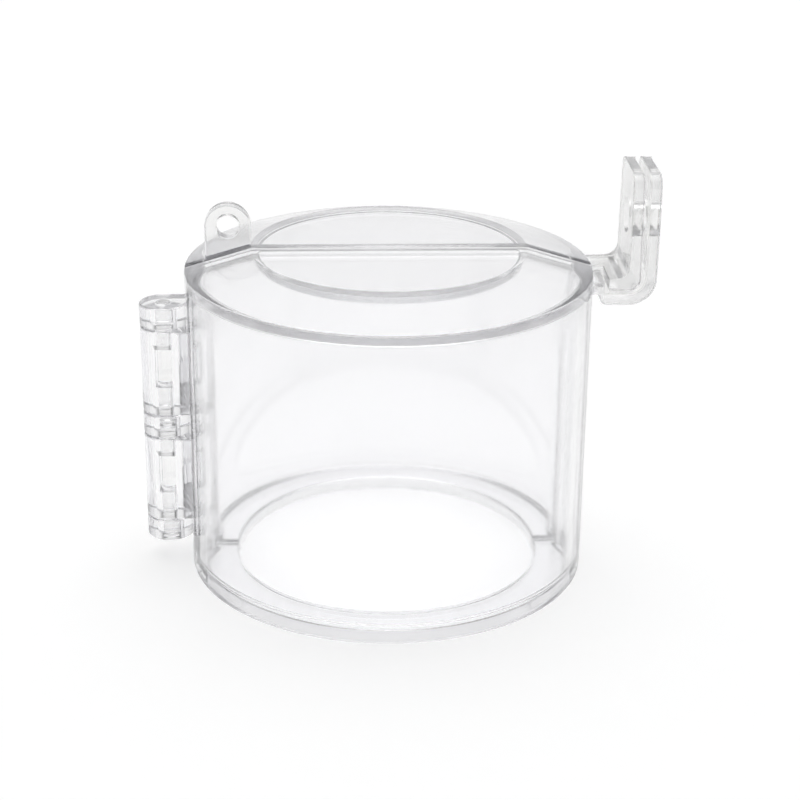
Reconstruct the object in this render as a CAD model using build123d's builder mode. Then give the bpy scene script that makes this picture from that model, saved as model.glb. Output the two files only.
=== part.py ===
"""Clear clamshell cover that closes round a pushbutton and is held shut by a padlock.

The origin is the centre of the base opening, on the plane that the cover stands on, with Z up.
The cover parts in the XZ plane: the rear half lies at +Y, the front half at -Y, the hinge is
at -X and the padlock ears are at +X. All lengths are in millimetres.
"""
import os
from math import atan, cos, tan

from build123d import *

# Round cover
outer_radius = 40.0
wall = 2.6
rim_height = 62.2
rim_round = 0.5
parting_gap = 0.3

# Lid: a shallow cone that rises from the rim to a flat crown, with a round pad under the crown
cone_width = 13.0
crown_rise = 3.9
lid_thickness = 2.6
pad_inset = 0.8
pad_depth = 1.9

# Ledge round the base opening
ledge_width = 6.8
ledge_thickness = 2.7
ledge_fillet = 2.6

# Rib that stiffens each half along the parting, with its depth from the wall's and the lid's outer face
rib_depth = 4.8
lid_rib_depth = 4.2
rib_width = 1.8

# Tether tab on the rear half of the lid
tab_inset = 8.6
tab_radius = 4.5
tab_thickness = 2.7
tab_setback = 0.35
tab_hole_radius = 2.2
tab_hole_rise = 7.7

# Hinge
hinge_offset = 4.4
barrel_radius = 4.7
hinge_sill = 4.8
hinge_drop = 7.3
short_knuckle = 4.5
knuckle_gap = 0.35
knuckle_chamfer = 0.4
barrel_clearance = 0.35

# Hinge pins and the windows of the long knuckles
pin_radius = 1.6
snug_clearance = 0.02
running_clearance = 0.06
pin_spacing = 0.4
pin_chamfer = 0.3
window_head = 3.6
window_sill = 6.0

# Padlock ears
ear_standoff = 6.1
ear_thickness = 2.55
ear_spacing = 0.7
ear_depth = 17.0
ear_rise = 20.2
ear_corner = 3.0
padlock_hole_radius = 3.5
padlock_hole_drop = 10.0

# Arms that carry the ears
arm_thickness = 2.5
arm_spacing = 0.4
arm_drop = 0.45
neck_length = 1.5
neck_spacing = 0.9
neck_drop = 1.05
step_width = 0.8
inside_bend = 2.7
outside_bend = 2.3
heel_round = 1.2

# Sizes that follow
inner_radius = outer_radius - wall
ledge_radius = inner_radius - ledge_width
crown_radius = outer_radius - cone_width
crown_height = rim_height + crown_rise
cone_slope = crown_rise / cone_width
cone_angle = atan(cone_slope)
pad_radius = crown_radius - pad_inset

hinge_x = -(outer_radius + hinge_offset)
hinge_axis = Axis((hinge_x, 0, 0), (0, 0, 1))
hinge_top = rim_height - hinge_drop
long_knuckle = (hinge_top - hinge_sill - 3 * short_knuckle - 4 * knuckle_gap) / 2
lower_long = hinge_sill + short_knuckle + knuckle_gap
middle_short = lower_long + long_knuckle + knuckle_gap
upper_long = middle_short + short_knuckle + knuckle_gap
top_short = upper_long + long_knuckle + knuckle_gap
middle_height = middle_short + short_knuckle / 2
snug_radius = pin_radius + snug_clearance
running_radius = pin_radius + running_clearance

ear_top = rim_height + ear_rise
inner_ear = outer_radius + ear_standoff
outer_ear = inner_ear + ear_thickness + ear_spacing
root_x = outer_radius - wall / 2
neck_end = outer_radius + neck_length
upper_arm_top = rim_height - arm_drop
upper_arm_bottom = upper_arm_top - arm_thickness
lower_arm_top = upper_arm_bottom - arm_spacing
lower_arm_bottom = lower_arm_top - arm_thickness
padlock_hole_height = ear_top - padlock_hole_drop

rear_parting = Plane.XZ.offset(-parting_gap / 2)
front_parting = Plane.XZ.offset(parting_gap / 2)


def lid_height(radius, inset=0.0):
    """Height of the cone at a radius, or of the surface that lies a given inset below it."""
    return rim_height + cone_slope * (outer_radius - radius) - inset / cos(cone_angle)


def crown_edge(inset):
    """Radius where the flat crown meets the cone, on the surface at a given inset."""
    return crown_radius - inset * tan(cone_angle / 2)


def shell_section():
    """Half section of the round cover, from its axis to its wall."""
    with BuildSketch(Plane.XZ) as section:
        with BuildLine():
            Polyline(
                (0, crown_height),
                (crown_radius, crown_height),
                (outer_radius, rim_height),
                (outer_radius, 0),
                (ledge_radius, 0),
                (ledge_radius, ledge_thickness),
                (inner_radius, ledge_thickness),
                (inner_radius, lid_height(inner_radius, lid_thickness)),
                (crown_edge(lid_thickness), crown_height - lid_thickness),
                (pad_radius, crown_height - lid_thickness),
                (pad_radius, crown_height - lid_thickness - pad_depth),
                (0, crown_height - lid_thickness - pad_depth),
                close=True,
            )
        make_face()
        foot = section.vertices().sort_by_distance((inner_radius, ledge_thickness))[0]
        fillet(foot, ledge_fillet)
        rim = section.vertices().sort_by_distance((outer_radius, rim_height))[0]
        fillet(rim, rim_round)
    return section.sketch


def dome_points(side_inset, lid_inset):
    """Corners of the front outline of the cover, drawn in from its wall and from its lid."""
    side = outer_radius - side_inset
    edge = crown_edge(lid_inset)
    shoulder = lid_height(side, lid_inset)
    right = [
        (edge, crown_height - lid_inset),
        (side, shoulder),
        (side, ledge_thickness / 2),
    ]
    left = [(-x, z) for x, z in reversed(right)]
    return left + right


def rib_outline():
    """Rib along the parting: it starts within the wall and the lid and stands into the cover."""
    with BuildSketch(Plane.XZ) as outline:
        with BuildLine():
            Polyline(*dome_points(wall / 2, lid_thickness / 2), close=True)
        make_face()
        with BuildLine():
            Polyline(*dome_points(rib_depth, lid_rib_depth), close=True)
        make_face(mode=Mode.SUBTRACT)
    return outline.sketch


def knuckle_section(bottom, height):
    """Half section of a hinge barrel with chamfered rims."""
    with BuildSketch(Plane.XZ) as section:
        with Locations((hinge_x, bottom)):
            Rectangle(barrel_radius, height, align=(Align.MIN, Align.MIN))
        chamfer(section.vertices().group_by(Axis.X)[-1], knuckle_chamfer)
    return section.sketch


def leaf_outline(bottom, side):
    """Leaf between a barrel and the wall, on one side of the parting."""
    lean = Align.MIN if side > 0 else Align.MAX
    with BuildSketch(Plane.XY.offset(bottom)) as outline:
        with Locations((hinge_x, side * parting_gap / 2)):
            Rectangle(-root_x - hinge_x, barrel_radius - parting_gap / 2, align=(Align.MIN, lean))
    return outline.sketch


def hinge_circle(height, radius):
    """Circle round the hinge axis at a height."""
    with BuildSketch(Plane.XY.offset(height)) as outline:
        with Locations((hinge_x, 0)):
            Circle(radius)
    return outline.sketch


def window_outline(bottom):
    """Front window of a long knuckle, as wide as its bore."""
    height = long_knuckle - window_sill - window_head
    with BuildSketch(Plane.XZ) as outline:
        with Locations((hinge_x, bottom + window_sill)):
            Rectangle(2 * running_radius, height, align=(Align.CENTER, Align.MIN))
    return outline.sketch


def tab_outline():
    """Tether tab: an arch round its hole that stands on the cone of the lid."""
    centre = -(outer_radius - tab_inset)
    left = centre - tab_radius
    right = centre + tab_radius
    height = rim_height + tab_hole_rise
    foot = lid_thickness / 2
    with BuildSketch(rear_parting.offset(-tab_setback)) as outline:
        with BuildLine():
            Polyline(
                (left, height),
                (left, lid_height(-left, foot)),
                (right, lid_height(-right, foot)),
                (right, height),
            )
            ThreePointArc((right, height), (centre, height + tab_radius), (left, height))
        make_face()
        with Locations((centre, height)):
            Circle(tab_hole_radius, mode=Mode.SUBTRACT)
    return outline.sketch


def bent_ear(start, face, bottom, inner_bend, outer_bend):
    """Front outline of an arm that runs out from a start and turns up into its ear."""
    back = face + ear_thickness
    with BuildSketch(Plane.XZ) as outline:
        with BuildLine():
            Polyline(
                (start, bottom),
                (back, bottom),
                (back, ear_top),
                (face, ear_top),
                (face, bottom + arm_thickness),
                (start, bottom + arm_thickness),
                close=True,
            )
        make_face()
        near = outline.vertices().sort_by_distance((face, bottom + arm_thickness))[0]
        fillet(near, inner_bend)
        far = outline.vertices().sort_by_distance((back, bottom))[0]
        fillet(far, outer_bend)
    return outline.sketch


def neck_outline(plane, start, bottom, end, top):
    """Upright rectangle of a neck, or of the step below it, on a parting plane."""
    with BuildSketch(plane) as outline:
        with Locations((start, bottom)):
            Rectangle(end - start, top - bottom, align=(Align.MIN, Align.MIN))
    return outline.sketch


def padlock_hole(face):
    """Padlock hole on the near face of an ear."""
    with BuildSketch(Plane.YZ.offset(face)) as outline:
        with Locations((0, padlock_hole_height)):
            Circle(padlock_hole_radius)
    return outline.sketch


def make_back_shell():
    """Rear half: lid, wall, ledge and rib, tether tab, inner ear and the three short knuckles."""
    half_depth = ear_depth / 2 - parting_gap / 2
    with BuildPart() as back_shell:
        revolve(shell_section(), axis=Axis.Z)
        extrude(rib_outline(), amount=-rib_width - parting_gap / 2)
        split(bisect_by=rear_parting, keep=Keep.BOTTOM)
        extrude(tab_outline(), amount=-tab_thickness)
        for height in (lower_long, upper_long):
            extrude(
                hinge_circle(height - knuckle_gap, barrel_radius + barrel_clearance),
                amount=long_knuckle + 2 * knuckle_gap,
                mode=Mode.SUBTRACT,
            )
        for height in (hinge_sill, middle_short, top_short):
            revolve(knuckle_section(height, short_knuckle), axis=hinge_axis)
            extrude(leaf_outline(height, 1), amount=short_knuckle)
            extrude(hinge_circle(height, snug_radius), amount=short_knuckle, mode=Mode.SUBTRACT)
        extrude(
            bent_ear(neck_end + neck_spacing, inner_ear, upper_arm_bottom, inside_bend, outside_bend),
            amount=ear_depth / 2,
            both=True,
        )
        extrude(
            neck_outline(
                rear_parting, root_x, upper_arm_bottom, neck_end + neck_spacing, upper_arm_top
            ),
            amount=-half_depth,
        )
        corners = back_shell.edges().filter_by(Axis.X).group_by(Axis.Z)[-1]
        fillet(corners, ear_corner)
        extrude(padlock_hole(inner_ear), amount=ear_thickness, mode=Mode.SUBTRACT)
    return back_shell


def make_front_shell():
    """Front half: lid, wall, ledge and rib, outer ear and the two long knuckles with windows."""
    half_depth = ear_depth / 2 - parting_gap / 2
    heel_x = neck_end - step_width
    neck_top = rim_height - neck_drop
    with BuildPart() as front_shell:
        revolve(shell_section(), axis=Axis.Z)
        extrude(rib_outline(), amount=rib_width + parting_gap / 2)
        split(bisect_by=front_parting, keep=Keep.TOP)
        for height in (hinge_sill, middle_short, top_short):
            extrude(
                hinge_circle(height - knuckle_gap, barrel_radius + barrel_clearance),
                amount=short_knuckle + 2 * knuckle_gap,
                mode=Mode.SUBTRACT,
            )
        for height in (lower_long, upper_long):
            revolve(knuckle_section(height, long_knuckle), axis=hinge_axis)
            extrude(leaf_outline(height, -1), amount=long_knuckle)
            extrude(hinge_circle(height, running_radius), amount=long_knuckle, mode=Mode.SUBTRACT)
            extrude(window_outline(height), amount=2 * barrel_radius, mode=Mode.SUBTRACT)
        extrude(
            bent_ear(
                heel_x, outer_ear, lower_arm_bottom,
                outside_bend + ear_spacing, outside_bend + ear_spacing + ear_thickness,
            ),
            amount=ear_depth / 2,
            both=True,
        )
        extrude(
            neck_outline(front_parting, heel_x, lower_arm_bottom, neck_end, neck_top),
            amount=half_depth,
        )
        extrude(
            neck_outline(front_parting, root_x, neck_top - arm_thickness, neck_end, neck_top),
            amount=half_depth,
        )
        arm_edges = front_shell.edges().filter_by(Axis.Y)
        fillet(arm_edges.sort_by_distance((heel_x, 0, lower_arm_bottom))[0], heel_round)
        corners = front_shell.edges().filter_by(Axis.X).group_by(Axis.Z)[-1]
        fillet(corners, ear_corner)
        extrude(padlock_hole(outer_ear), amount=ear_thickness, mode=Mode.SUBTRACT)
    return front_shell


def make_pin(bottom, top):
    """Hinge pin with chamfered ends."""
    with BuildPart() as pin:
        extrude(hinge_circle(bottom, pin_radius), amount=top - bottom)
        chamfer(pin.edges().filter_by(GeomType.CIRCLE), pin_chamfer)
    return pin


back_shell = make_back_shell()
front_shell = make_front_shell()
upper_hinge_pin = make_pin(middle_height + pin_spacing / 2, hinge_top)
lower_hinge_pin = make_pin(hinge_sill, middle_height - pin_spacing / 2)

back_shell.part.label = "back_shell"
front_shell.part.label = "front_shell"
upper_hinge_pin.part.label = "upper_hinge_pin"
lower_hinge_pin.part.label = "lower_hinge_pin"

os.makedirs("parts", exist_ok=True)
export_step(back_shell.part, "parts/back_shell.step")
export_step(front_shell.part, "parts/front_shell.step")
export_step(upper_hinge_pin.part, "parts/upper_hinge_pin.step")
export_step(lower_hinge_pin.part, "parts/lower_hinge_pin.step")
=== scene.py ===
"""Clear clamshell lockout cover on a pale floor.

The two halves are drawn again with fine, rounded meshes on the sizes of the solids, because a
clear moulding shows every flat facet and every sharp edge. Lengths are in millimetres until a
mesh is made. Places in the materials and of the camera are in metres.
"""
import bmesh
import bpy
import math
from mathutils import Matrix, Vector


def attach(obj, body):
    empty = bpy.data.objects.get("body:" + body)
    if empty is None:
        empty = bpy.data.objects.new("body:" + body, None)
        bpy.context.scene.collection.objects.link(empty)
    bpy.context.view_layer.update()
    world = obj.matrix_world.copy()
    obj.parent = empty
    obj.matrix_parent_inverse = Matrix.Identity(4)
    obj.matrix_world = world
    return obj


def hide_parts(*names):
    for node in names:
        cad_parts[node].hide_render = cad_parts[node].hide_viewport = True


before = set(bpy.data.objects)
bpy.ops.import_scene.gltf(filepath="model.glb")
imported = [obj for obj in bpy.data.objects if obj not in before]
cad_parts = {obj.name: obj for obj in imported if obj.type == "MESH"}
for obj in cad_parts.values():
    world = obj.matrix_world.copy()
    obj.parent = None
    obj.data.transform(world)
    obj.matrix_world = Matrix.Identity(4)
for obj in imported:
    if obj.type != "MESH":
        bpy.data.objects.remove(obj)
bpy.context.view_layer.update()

# Round cover. Each half stands back from the parting plane by the gap.
OUTER = 40.0
WALL = 2.6
RIM = 62.2
GAP = 0.15

# Lid: a shallow cone that rises to a flat crown, with a round pad under the crown
CONE_WIDE = 13.0
CONE_RISE = 3.9
CONE_THICK = 3.2
LID_THICK = 2.6
PAD = 25.6
PAD_DEPTH = 1.9
SLOPE = CONE_RISE / CONE_WIDE
CROWN = OUTER - CONE_WIDE
TOP = RIM + CONE_RISE

# Ring round the base opening
RING = 30.6
RING_HIGH = 2.7

# Ribs along the parting edge, inside the wall and under the lid
RIB_WIDE = 1.8
WALL_RIB = 2.2
LID_RIB = 1.0
RIB_ROOT = 0.3
RUN_OUT = 8.0
RUN_OUT_ROWS = 12

# Tether tab
TAB_X = -31.4
TAB_RADIUS = 4.5
TAB_HIGH = 69.9
TAB_THICK = 2.7
TAB_SETBACK = 0.35
TAB_HOLE = 2.2

# Hinge
HINGE_X = -44.4
HINGE_LOW = 4.8
BARREL = 4.7
SHORT = 4.5
LONG = 17.6
BETWEEN = 0.35
RELIEF = 0.35
RELIEF_END = 0.33
PIN = 1.6
PIN_SPACING = 0.4
SNUG_BORE = 1.62
RUNNING_BORE = 1.66
BORE_LOW = 3.4
BORE_HIGH = 56.4
WINDOW_SILL = 6.0
WINDOW_HEAD = 3.6
WINDOW_DEPTH = 7.0
KNUCKLE_PITCH = SHORT + LONG + 2 * BETWEEN
SHORTS = [(HINGE_LOW + KNUCKLE_PITCH * k, HINGE_LOW + KNUCKLE_PITCH * k + SHORT) for k in range(3)]
LONGS = [(low + SHORT + BETWEEN, low + SHORT + BETWEEN + LONG) for low, _ in SHORTS[:2]]

# Ears. A bend has a radius inside and one outside.
EAR_TOP = 82.4
EAR_HALF = 8.5
EAR_CORNER = 3.0
EAR_THICK = 2.55
EAR_SPACING = 0.7
INNER_EAR = 46.1
OUTER_EAR = INNER_EAR + EAR_THICK + EAR_SPACING
INNER_BENDS = (2.7, 2.3)
OUTER_BENDS = (3.0, 5.55)
HOLE_HIGH = 72.4
HOLE = 3.5

# Arms that carry the ears, and the neck of the outer one
ARM_ROOT = OUTER - WALL / 2
ARM_THICK = 2.5
ARM_SPACING = 0.4
ARM_WIDENS = 42.4
INNER_ARM = 59.25
OUTER_ARM = INNER_ARM - ARM_SPACING - ARM_THICK
HEEL_X = 40.7
HEEL_ROUND = 1.2
NECK_LOW = 58.65
NECK_HIGH = 61.15
NECK_FOOT = 57.6
NECK_IN = 40.75
NECK_OUT = 41.5

# Rounded edges of the mouldings
SOFT = 0.3
NECK_SOFT = 0.25
BLUNT = 0.4
PARTING = 0.9
CROWN_ROUND = 0.8
EDGE_ROUND = 0.5
RING_FILLET = 1.2
LID_FILLET = 0.6

# Steps of a rounded edge, of the half turn of a half and of a round bar
TURNS = 4
SPOKES = 180
SEGMENTS = 96

# Faces that would fall together in a boolean are kept apart by a hair
HAIR = 0.02

# Clear plastic: where the ears and the tab get a darker tint of painted shade, and where the lid turns
# hazier
PAINTED_SHADE_ABOVE = (0.0663, 0.0675)
PAINTED_SHADE_PAST = (0.0402, 0.0415)
HAZE_RISE = (0.052, 0.060)
HAZE = 0.07
POLISH = (0.04, 0.08)
# Painted shade: the darker tint of the tab, the ears and their arms
PAINTED_SHADE_TINT = (0.9, 0.9, 0.895, 1)

# Light: a backdrop that changes over a span of the direction's y, from the viewer's side to behind
# the cover, and a soft box that comes up over a span of its z, overhead
BACKDROP_SPAN = (-0.3, 0.8)
BACKDROP = (0.16, 0.95)
BOX_SPAN = (0.8, 0.95)
BOX = (0.0, 2.1)


def lid_height(radius, inset=0.0):
    """Height of the cone at a radius, or of a surface that runs inset below it."""
    return RIM + SLOPE * (OUTER - radius) - inset * math.hypot(1, SLOPE)


def cross_at(a, b):
    """Crossing of two lines, each given as a point and a direction."""
    (ax, ay), (au, av) = a
    (bx, by), (bu, bv) = b
    det = au * bv - av * bu
    t = ((bx - ax) * bv - (by - ay) * bu) / det
    return ax + t * au, ay + t * av


def quarter(soft):
    """Steps of a rounded edge: how far along the side, and how far in from the face."""
    turns = [math.pi / 2 * k / (TURNS - 1) for k in range(TURNS)]
    return [(soft * (1 - math.cos(turn)), soft * (1 - math.sin(turn))) for turn in turns]


def rounded(path, radii):
    """Open path with its inner corners rounded, each by as many points."""
    out = [path[0]]
    for i in range(1, len(path) - 1):
        p, c, q = Vector(path[i - 1]), Vector(path[i]), Vector(path[i + 1])
        u, v = (p - c).normalized(), (q - c).normalized()
        half = u.angle(v) / 2
        reach = min(radii[i - 1] / math.tan(half), 0.45 * (p - c).length, 0.45 * (q - c).length)
        radius = reach * math.tan(half)
        centre = c + (u + v).normalized() * (radius / math.sin(half))
        start, end = c + u * reach - centre, c + v * reach - centre
        sweep = math.pi - 2 * half
        for k in range(TURNS + 1):
            t = k / TURNS
            a, b = math.sin((1 - t) * sweep), math.sin(t * sweep)
            out.append(tuple(centre + (start * a + end * b) / math.sin(sweep)))
    out.append(path[-1])
    return out


def half_section(edge, rib, lid_rib):
    """Half section of the cover: edge draws all sides inwards, the ribs move only the inner ones."""
    c, s = 1 / math.hypot(1, SLOPE), SLOPE / math.hypot(1, SLOPE)
    low = edge + lid_rib
    ring = edge * SOFT / PARTING
    under = lid_height(CROWN, CONE_THICK)
    pad_bottom = TOP - LID_THICK - PAD_DEPTH + edge
    lines = [
        ((0, TOP - edge), (1, 0)),
        ((CROWN - s * edge, TOP - c * edge), (c, -s)),
        ((OUTER - edge, 0), (0, -1)),
        ((0, ring), (-1, 0)),
        ((RING + ring, 0), (0, 1)),
        ((0, RING_HIGH - ring), (1, 0)),
        ((OUTER - WALL + edge + rib, 0), (0, 1)),
        ((CROWN + s * low, under + c * low), (-c, s)),
        ((PAD - edge, 0), (0, -1)),
        ((0, pad_bottom), (-1, 0)),
    ]
    corners = [cross_at(a, b) for a, b in zip(lines, lines[1:])]
    path = [(PAD - 1, TOP - edge)] + corners + [(PAD - 2, pad_bottom)]
    outward = (CROWN_ROUND, EDGE_ROUND, SOFT, SOFT, EDGE_ROUND, None, None, None, SOFT)
    inward = (None, None, None, None, None, RING_FILLET, LID_FILLET, SOFT, None)
    radii = [max(a - edge, HAIR) if a else b + edge for a, b in zip(outward, inward)]
    return rounded(path, radii)


def solid(loops):
    """Closed mesh through loops of as many points, with a cap on the first and the last loop."""
    mesh = bmesh.new()
    rows = [[mesh.verts.new(Vector(p) / 1000) for p in loop] for loop in loops]
    count = len(rows[0])
    for a, b in zip(rows, rows[1:]):
        for i in range(count):
            j = (i + 1) % count
            mesh.faces.new((a[i], a[j], b[j], b[i]))
    mesh.faces.new(rows[0])
    mesh.faces.new(rows[-1])
    return mesh


def finish_mesh(mesh, name):
    """Welds, turns the faces outwards and makes an object."""
    bmesh.ops.remove_doubles(mesh, verts=mesh.verts, dist=1e-7)
    bmesh.ops.dissolve_degenerate(mesh, edges=mesh.edges, dist=1e-8)
    bmesh.ops.recalc_face_normals(mesh, faces=mesh.faces)
    data = bpy.data.meshes.new(name)
    mesh.to_mesh(data)
    mesh.free()
    made = bpy.data.objects.new(name, data)
    bpy.context.scene.collection.objects.link(made)
    return made


def wall_rib(y):
    """Depth of the rib on the wall: full at the parting plane, then a slow run-out."""
    t = min(max((y - GAP - RIB_WIDE) / RUN_OUT, 0), 1)
    return -WALL_RIB * (0.5 + 0.5 * math.cos(math.pi * t))


def rib_rows():
    """Rows of a half from the parting plane backwards: place, edge, wall rib and lid rib."""
    far = GAP + RIB_WIDE
    rows = [(GAP + along, inward, -WALL_RIB, -LID_RIB) for along, inward in quarter(PARTING)]
    rows += [(far - inward, 0, wall_rib(far - inward), along - LID_RIB) for along, inward in quarter(SOFT)]
    rows += [(far + along, 0, wall_rib(far + along), -inward) for along, inward in quarter(RIB_ROOT)]
    for k in range(1, RUN_OUT_ROWS + 1):
        y = far + RIB_ROOT + (RUN_OUT - RIB_ROOT) * k / RUN_OUT_ROWS
        rows.append((y, 0, wall_rib(y), 0))
    return rows


def half_cover(side):
    """One half of the round cover: flat rows over the rib, then a fan of spokes round the back."""
    rows = rib_rows()
    mesh = bmesh.new()
    planar = []
    for y, edge, rib, lid_rib in rows:
        line = [(math.sqrt(r * r - y * y), z) for r, z in half_section(edge, rib, lid_rib)]
        right = [mesh.verts.new(Vector((x, side * y, z)) / 1000) for x, z in line]
        left = [mesh.verts.new(Vector((-x, side * y, z)) / 1000) for x, z in line]
        planar.append((right, left))
    for (ra, la), (rb, lb) in zip(planar, planar[1:]):
        a, b = ra + la[::-1], rb + lb[::-1]
        for i in range(len(a)):
            j = (i + 1) % len(a)
            mesh.faces.new((a[i], a[j], b[j], b[i]))
    mesh.faces.new(planar[0][0] + planar[0][1][::-1])
    line = half_section(0, 0, 0)
    last = rows[-1][0]
    spokes = [planar[-1][0]]
    for step in range(1, SPOKES):
        spoke = []
        for r, z in line:
            start = math.asin(last / r)
            a = start + (math.pi - 2 * start) * step / SPOKES
            spoke.append(mesh.verts.new(Vector((r * math.cos(a), side * r * math.sin(a), z)) / 1000))
        spokes.append(spoke)
    spokes.append(planar[-1][1])
    for a, b in zip(spokes, spokes[1:]):
        for i in range(len(a) - 1):
            mesh.faces.new((a[i], a[i + 1], b[i + 1], b[i]))
    mesh.faces.new([s[0] for s in spokes])
    mesh.faces.new([s[-1] for s in spokes])
    return finish_mesh(mesh, "half")


def drawn_in(points, inset):
    """Closed outline, anticlockwise, with its sides moved inwards."""
    if inset == 0:
        return list(points)
    out = []
    count = len(points)
    for i in range(count):
        p, c, q = (Vector(points[(i + k) % count]) for k in (-1, 0, 1))
        u, v = (c - p).normalized(), (q - c).normalized()
        a = c + Vector((-u.y, u.x)) * inset
        b = c + Vector((-v.y, v.x)) * inset
        if abs(u.x * v.y - u.y * v.x) < 1e-6:
            out.append(tuple(a))
        else:
            out.append(cross_at((a, u), (b, v)))
    return out


def slab(outline, low, high, place, soft):
    """Outline pulled from low to high with rounded rims. place turns (u, v, depth) into a point."""
    levels = [(low + along, inward) for along, inward in quarter(soft)]
    levels += [(low + high - d, e) for d, e in reversed(levels)]
    return solid([[place(u, v, d) for u, v in drawn_in(outline, e)] for d, e in levels])


def spool(low, high, radius, place):
    """Cutter for a round hole whose two rims are rounded."""
    line = [(low - 1, radius + SOFT), (low, radius + SOFT)]
    for k in range(1, TURNS + 1):
        a = low + SOFT * k / TURNS
        line.append((a, radius + SOFT - math.sqrt(SOFT ** 2 - (low + SOFT - a) ** 2)))
    line += [(low + high - a, r) for a, r in reversed(line)]
    turns = [2 * math.pi * k / SEGMENTS for k in range(SEGMENTS)]
    return solid([[place(r * math.cos(t), r * math.sin(t), a) for t in turns] for a, r in line])


def strap(sections):
    """Flat bar through sections, each given by its two face points and its two side places."""
    loops = []
    for p, q, y0, y1 in sections:
        p, q = Vector(p), Vector(q)
        u = (q - p).normalized()
        thick = (q - p).length
        corners = ((SOFT, y0 + SOFT, 180), (SOFT, y1 - SOFT, 90),
                   (thick - SOFT, y1 - SOFT, 0), (thick - SOFT, y0 + SOFT, -90))
        loop = []
        for a, b, start in corners:
            for k in range(TURNS):
                turn = math.radians(start - 90 * k / (TURNS - 1))
                at = p + u * (a + SOFT * math.cos(turn))
                loop.append((at.x, b + SOFT * math.sin(turn), at.y))
        loops.append(loop)
    return solid(loops)


def ear_sections(face, bottom, bends):
    """Bend and upright of an ear, with rounded top corners."""
    inside, outside = bends
    back = face + EAR_THICK
    top = bottom + ARM_THICK
    rows = []
    for k in range(13):
        turn = math.radians(-90 + 7.5 * k)
        inner = (face - inside + inside * math.cos(turn), top + inside + inside * math.sin(turn))
        outer = (back - outside + outside * math.cos(turn), bottom + outside + outside * math.sin(turn))
        rows.append((inner, outer, -EAR_HALF, EAR_HALF))
    heights = [EAR_TOP - EAR_CORNER + EAR_CORNER * math.sin(math.radians(6 * k)) for k in range(15)]
    heights += [EAR_TOP - 0.006, EAR_TOP]
    for z in heights:
        wide = EAR_HALF - EAR_CORNER + math.sqrt(max(EAR_CORNER ** 2 - (z - EAR_TOP + EAR_CORNER) ** 2, 0))
        over = max(z - EAR_TOP + SOFT, 0)
        thin = SOFT - math.sqrt(max(SOFT ** 2 - over ** 2, 0))
        rows.append(((face + thin, z), (back - thin, z), -wide, wide))
    return rows


def knuckle(low, high, side):
    """Barrel and leaf of one knuckle."""
    leaf = GAP + HAIR / 2
    start = math.asin(leaf / BARREL)
    outline = [(-ARM_ROOT, leaf), (-ARM_ROOT, BARREL)]
    for k in range(SEGMENTS + 1):
        turn = math.pi / 2 + (1.5 * math.pi + start) * k / SEGMENTS
        outline.append((HINGE_X + BARREL * math.cos(turn), BARREL * math.sin(turn)))
    return slab(outline, low, high, lambda u, v, d: (u, side * v, d), BLUNT)


def round_bar(low, high, radius, soft=0.0):
    """Upright round bar on the hinge axis, with bevelled ends if it has a soft edge."""
    if soft:
        levels = [(low, radius - soft), (low + soft, radius), (high - soft, radius), (high, radius - soft)]
    else:
        levels = [(low, radius), (high, radius)]
    turns = [2 * math.pi * k / SEGMENTS for k in range(SEGMENTS)]
    return solid([[(HINGE_X + r * math.cos(t), r * math.sin(t), z) for t in turns] for z, r in levels])


def window(low, high):
    """Cutter for the window of a long knuckle."""
    corners = ((-1, -WINDOW_DEPTH), (1, -WINDOW_DEPTH), (1, 0), (-1, 0))
    return solid([[(HINGE_X + u * RUNNING_BORE, v, z) for u, v in corners]
                  for z in (low + WINDOW_SILL, high - WINDOW_HEAD)])


def padlock_hole(face):
    """Cutter for the padlock hole of the ear on a face."""
    return spool(face, face + EAR_THICK, HOLE, lambda u, v, d: (d, u, HOLE_HIGH + v))


def merged(meshes, name):
    """One object from several closed meshes that stay clear of one another."""
    whole = bmesh.new()
    for mesh in meshes:
        bmesh.ops.recalc_face_normals(mesh, faces=mesh.faces)
        data = bpy.data.meshes.new("temp")
        mesh.to_mesh(data)
        mesh.free()
        whole.from_mesh(data)
        bpy.data.meshes.remove(data)
    return finish_mesh(whole, name)


def carve(target, tool, operation):
    """Boolean of a tool on a target. The tool is used up."""
    step = target.modifiers.new(operation, "BOOLEAN")
    step.operation = operation
    step.solver = "EXACT"
    step.object = tool
    bpy.context.view_layer.objects.active = target
    with bpy.context.temp_override(object=target, active_object=target, selected_objects=[target]):
        bpy.ops.object.modifier_apply(modifier=step.name)
    data = tool.data
    bpy.data.objects.remove(tool)
    bpy.data.meshes.remove(data)


def make_room(piece, knuckles):
    """Cuts the other half's knuckles out of a half, with their clearance."""
    bars = [round_bar(low - RELIEF_END, high + RELIEF_END, BARREL + RELIEF) for low, high in knuckles]
    carve(piece, merged(bars, "reliefs"), "DIFFERENCE")


def smooth(piece):
    """Smooth shading that keeps flat faces flat and true corners sharp."""
    piece.data.shade_smooth()
    piece.data.set_sharp_from_angle(angle=math.radians(35))
    step = piece.modifiers.new("normals", "WEIGHTED_NORMAL")
    step.mode = "FACE_AREA"
    step.weight = 50
    step.keep_sharp = True


def tab():
    """Tether tab on the lid."""
    outline = [(TAB_X + side * TAB_RADIUS, lid_height(-TAB_X - side * TAB_RADIUS, LID_THICK / 2))
               for side in (-1, 1)]
    for k in range(49):
        turn = math.pi * k / 48
        outline.append((TAB_X + TAB_RADIUS * math.cos(turn), TAB_HIGH + TAB_RADIUS * math.sin(turn)))
    low = GAP + TAB_SETBACK
    return slab(outline, low, low + TAB_THICK, lambda u, v, d: (u, d, v), BLUNT)


def tab_hole():
    """Cutter for the hole in the tether tab."""
    low = GAP + TAB_SETBACK
    return spool(low, low + TAB_THICK, TAB_HOLE, lambda u, v, d: (TAB_X + u, d, TAB_HIGH + v))


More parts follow.
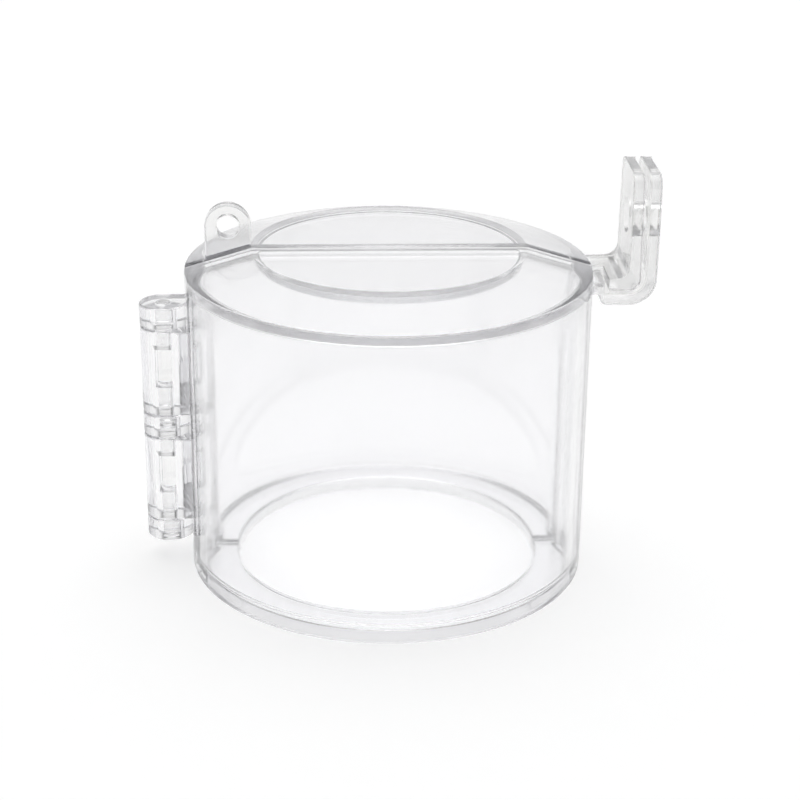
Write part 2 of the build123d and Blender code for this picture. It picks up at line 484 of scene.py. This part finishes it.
def inner_arm():
    """Arm of the rear half, which widens past the parting plane outside the wall."""
    top = INNER_ARM + ARM_THICK
    return [((x, top), (x, INNER_ARM), near, EAR_HALF)
            for x, near in ((ARM_ROOT, GAP + HAIR), (ARM_WIDENS, GAP + HAIR), (ARM_WIDENS, -EAR_HALF))]


def outer_arm():
    """Arm of the front half, from its rounded heel outwards."""
    top = OUTER_ARM + ARM_THICK
    rows = []
    for k in range(6):
        turn = math.radians(18 * k)
        x = HEEL_X + HEEL_ROUND * (1 - math.cos(turn))
        rows.append(((x, top), (x, OUTER_ARM + HEEL_ROUND * (1 - math.sin(turn))), -EAR_HALF, EAR_HALF))
    return rows


def outer_neck():
    """Neck that carries the outer arm on the wall."""
    outline = [(ARM_ROOT, NECK_LOW), (NECK_IN, NECK_LOW), (NECK_IN, NECK_FOOT), (NECK_OUT, NECK_FOOT),
               (NECK_OUT, NECK_HIGH), (ARM_ROOT, NECK_HIGH)]
    return slab(outline, -EAR_HALF + HAIR, -GAP - HAIR, lambda u, v, d: (u, d, v), NECK_SOFT)


def back_half():
    """Rear half of the cover."""
    piece = half_cover(1)
    make_room(piece, LONGS)
    adds = [knuckle(low, high, 1) for low, high in SHORTS]
    adds.append(strap(inner_arm() + ear_sections(INNER_EAR, INNER_ARM, INNER_BENDS)))
    adds.append(tab())
    carve(piece, merged(adds, "adds"), "UNION")
    cuts = [round_bar(BORE_LOW, BORE_HIGH, SNUG_BORE), padlock_hole(INNER_EAR), tab_hole()]
    carve(piece, merged(cuts, "cuts"), "DIFFERENCE")
    piece.name = "back_shell_clear"
    return piece


def front_half():
    """Front half of the cover."""
    piece = half_cover(-1)
    make_room(piece, SHORTS)
    adds = [knuckle(low, high, -1) for low, high in LONGS]
    adds.append(strap(outer_arm() + ear_sections(OUTER_EAR, OUTER_ARM, OUTER_BENDS)))
    carve(piece, merged(adds, "adds"), "UNION")
    carve(piece, finish_mesh(outer_neck(), "neck"), "UNION")
    cuts = [round_bar(BORE_LOW, BORE_HIGH, RUNNING_BORE), padlock_hole(OUTER_EAR)]
    carve(piece, merged(cuts, "cuts"), "DIFFERENCE")
    carve(piece, merged([window(low, high) for low, high in LONGS], "windows"), "DIFFERENCE")
    piece.name = "front_shell_clear"
    return piece


def pin(low, high, name):
    """Hinge pin."""
    return finish_mesh(round_bar(low, high, PIN, SOFT), name)


def node(tree, kind, **values):
    """Adds a shader node and sets its input sockets by name."""
    made = tree.nodes.new(kind)
    for name, value in values.items():
        made.inputs[name.replace("_", " ")].default_value = value
    return made


def ramp(tree, source, span, values=(0.0, 1.0), kind="LINEAR"):
    """Value that goes from the first to the second of the values over a span of the source."""
    made = node(tree, "ShaderNodeMapRange", From_Min=span[0], From_Max=span[1],
                To_Min=values[0], To_Max=values[1])
    made.interpolation_type = kind
    tree.links.new(source, made.inputs["Value"])
    return made.outputs["Result"]


def combined(tree, operation, a, b):
    """Result of a sum or another operation on two values."""
    made = tree.nodes.new("ShaderNodeMath")
    made.operation = operation
    tree.links.new(a, made.inputs[0])
    tree.links.new(b, made.inputs[1])
    return made.outputs[0]


def grain(tree, place, height):
    """Roughness: an uneven polish, and a haze towards the lid."""
    polish = node(tree, "ShaderNodeTexNoise", Scale=220.0, Detail=3.0, Roughness=0.6)
    tree.links.new(place, polish.inputs["Vector"])
    uneven = ramp(tree, polish.outputs["Fac"], (0.0, 1.0), POLISH)
    return combined(tree, "ADD", uneven, ramp(tree, height, HAZE_RISE, (0.0, HAZE)))


def colour(tree, flow, past, height, tint):
    """Colour: the tint, a little uneven, and darker on the tab, the ears and their arms, which is painted
    shade.
    """
    tone = node(tree, "ShaderNodeValToRGB")
    tone.color_ramp.elements[0].color = (*[c * 0.985 for c in tint], 1)
    tone.color_ramp.elements[1].color = (*tint, 1)
    tree.links.new(flow, tone.inputs[0])
    # Painted shade: the tab, the ears and their arms get a darker tint
    painted_shade_mask = combined(tree, "MAXIMUM", ramp(tree, height, PAINTED_SHADE_ABOVE), ramp(tree, past, PAINTED_SHADE_PAST))
    mix = tree.nodes.new("ShaderNodeMix")
    mix.data_type = "RGBA"
    first, second, result = mix.inputs[6], mix.inputs[7], mix.outputs[2]
    second.default_value = PAINTED_SHADE_TINT
    tree.links.new(painted_shade_mask, mix.inputs["Factor"])
    tree.links.new(tone.outputs["Color"], first)
    return result


def pale_shadow(tree, shader):
    """The shader, which lets most light through to what it shadows."""
    light = node(tree, "ShaderNodeLightPath")
    clear = node(tree, "ShaderNodeBsdfTransparent", Color=(0.96, 0.96, 0.96, 1))
    mix = node(tree, "ShaderNodeMixShader")
    tree.links.new(light.outputs["Is Shadow Ray"], mix.inputs[0])
    tree.links.new(shader.outputs[0], mix.inputs[1])
    tree.links.new(clear.outputs[0], mix.inputs[2])
    return mix.outputs[0]


def clear_plastic(name, tint, waviness):
    """Moulded clear plastic with slow flow waviness and a faint change of polish."""
    mat = bpy.data.materials.new(name)
    mat.use_nodes = True
    tree = mat.node_tree
    shader = tree.nodes["Principled BSDF"]
    out = tree.nodes["Material Output"]
    shader.inputs["Transmission Weight"].default_value = 1.0
    shader.inputs["IOR"].default_value = 1.585
    place = node(tree, "ShaderNodeTexCoord").outputs["Object"]
    split = tree.nodes.new("ShaderNodeSeparateXYZ")
    tree.links.new(place, split.inputs[0])
    flow = node(tree, "ShaderNodeTexNoise", Scale=60.0, Detail=2.0, Roughness=0.4)
    tree.links.new(place, flow.inputs["Vector"])
    bump = node(tree, "ShaderNodeBump", Strength=waviness, Distance=0.0002)
    tree.links.new(flow.outputs["Fac"], bump.inputs["Height"])
    tree.links.new(bump.outputs["Normal"], shader.inputs["Normal"])
    tree.links.new(grain(tree, place, split.outputs["Z"]), shader.inputs["Roughness"])
    shade = colour(tree, flow.outputs["Fac"], split.outputs["X"], split.outputs["Z"], tint)
    tree.links.new(shade, shader.inputs["Base Color"])
    tree.links.new(pale_shadow(tree, shader), out.inputs["Surface"])
    inside = node(tree, "ShaderNodeVolumeAbsorption", Color=(0.90, 0.90, 0.905, 1), Density=65.0)
    tree.links.new(inside.outputs[0], out.inputs["Volume"])
    return mat


def make_camera():
    """The photograph's view, solved from the rims, the ring and the ears."""
    data = bpy.data.cameras.new("camera")
    data.lens = 87.525
    data.sensor_width = 36
    camera = bpy.data.objects.new("camera", data)
    bpy.context.scene.collection.objects.link(camera)
    place = Vector((0.00248, -0.3626, 0.1836))
    pitch, roll = math.radians(22.48), math.radians(0.62)
    turn = Matrix.Rotation(math.radians(-2.9), 3, "Z")
    forward = turn @ Vector((0, math.cos(pitch), -math.sin(pitch)))
    level = turn @ Vector((1, 0, 0))
    upright = level.cross(forward)
    right = math.cos(roll) * level + math.sin(roll) * upright
    up = math.cos(roll) * upright - math.sin(roll) * level
    matrix = Matrix((right, up, -forward)).transposed().to_4x4()
    matrix.translation = turn @ place
    camera.matrix_world = matrix
    bpy.context.scene.camera = camera


def make_world():
    """Soft studio: a soft box overhead and a pale backdrop, darker towards the viewer."""
    world = bpy.data.worlds.new("studio")
    bpy.context.scene.world = world
    world.use_nodes = True
    tree = world.node_tree
    tree.nodes.clear()
    out = tree.nodes.new("ShaderNodeOutputWorld")
    light = node(tree, "ShaderNodeBackground", Color=(1.0, 1.0, 1.0, 1))
    place = tree.nodes.new("ShaderNodeTexCoord")
    split = tree.nodes.new("ShaderNodeSeparateXYZ")
    tree.links.new(place.outputs["Generated"], split.inputs[0])
    backdrop = ramp(tree, split.outputs["Y"], BACKDROP_SPAN, BACKDROP, "SMOOTHSTEP")
    box = ramp(tree, split.outputs["Z"], BOX_SPAN, BOX, "SMOOTHSTEP")
    tree.links.new(combined(tree, "ADD", backdrop, box), light.inputs["Strength"])
    tree.links.new(light.outputs[0], out.inputs[0])


def make_floor():
    """Plain white floor, just under the cover's foot."""
    bpy.ops.mesh.primitive_plane_add(size=6, location=(0, 0, -0.0003))
    floor = bpy.context.object
    floor.name = "floor"
    mat = bpy.data.materials.new("floor")
    mat.use_nodes = True
    shader = mat.node_tree.nodes["Principled BSDF"]
    shader.inputs["Base Color"].default_value = (0.9, 0.9, 0.9, 1)
    shader.inputs["Roughness"].default_value = 1.0
    shader.inputs["Specular IOR Level"].default_value = 0.0
    shader.inputs["Emission Color"].default_value = (1, 1, 1, 1)
    shader.inputs["Emission Strength"].default_value = 0.18
    floor.data.materials.append(mat)


make_camera()
make_world()
make_floor()
cover = clear_plastic("cover_plastic", (0.985, 0.985, 0.992), 0.02)
pins = clear_plastic("pin_plastic", (0.97, 0.97, 0.96), 0.02)

back = back_half()
front = front_half()
middle = sum(SHORTS[1]) / 2
upper = pin(middle + PIN_SPACING / 2, SHORTS[2][1], "upper_pin_clear")
lower = pin(HINGE_LOW, middle - PIN_SPACING / 2, "lower_pin_clear")
for piece, cad, body, slot, mat in (
    (back, "back_shell", "rear_half", "cover_plastic", cover),
    (front, "front_shell", "front_half", "cover_plastic", cover),
    (upper, "upper_hinge_pin", "rear_half", "pin_plastic", pins),
    (lower, "lower_hinge_pin", "rear_half", "pin_plastic", pins),
):
    piece.data.materials.clear()
    piece.data.materials.append(mat)
    smooth(piece)
    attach(piece, body)
    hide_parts(cad)

# Light passes many faces of clear plastic, so a ray may bend and bounce as often
BOUNCES = 64
scene = bpy.context.scene
scene.view_settings.view_transform = "Standard"
scene.cycles.max_bounces = BOUNCES
scene.cycles.transmission_bounces = BOUNCES
scene.cycles.glossy_bounces = BOUNCES
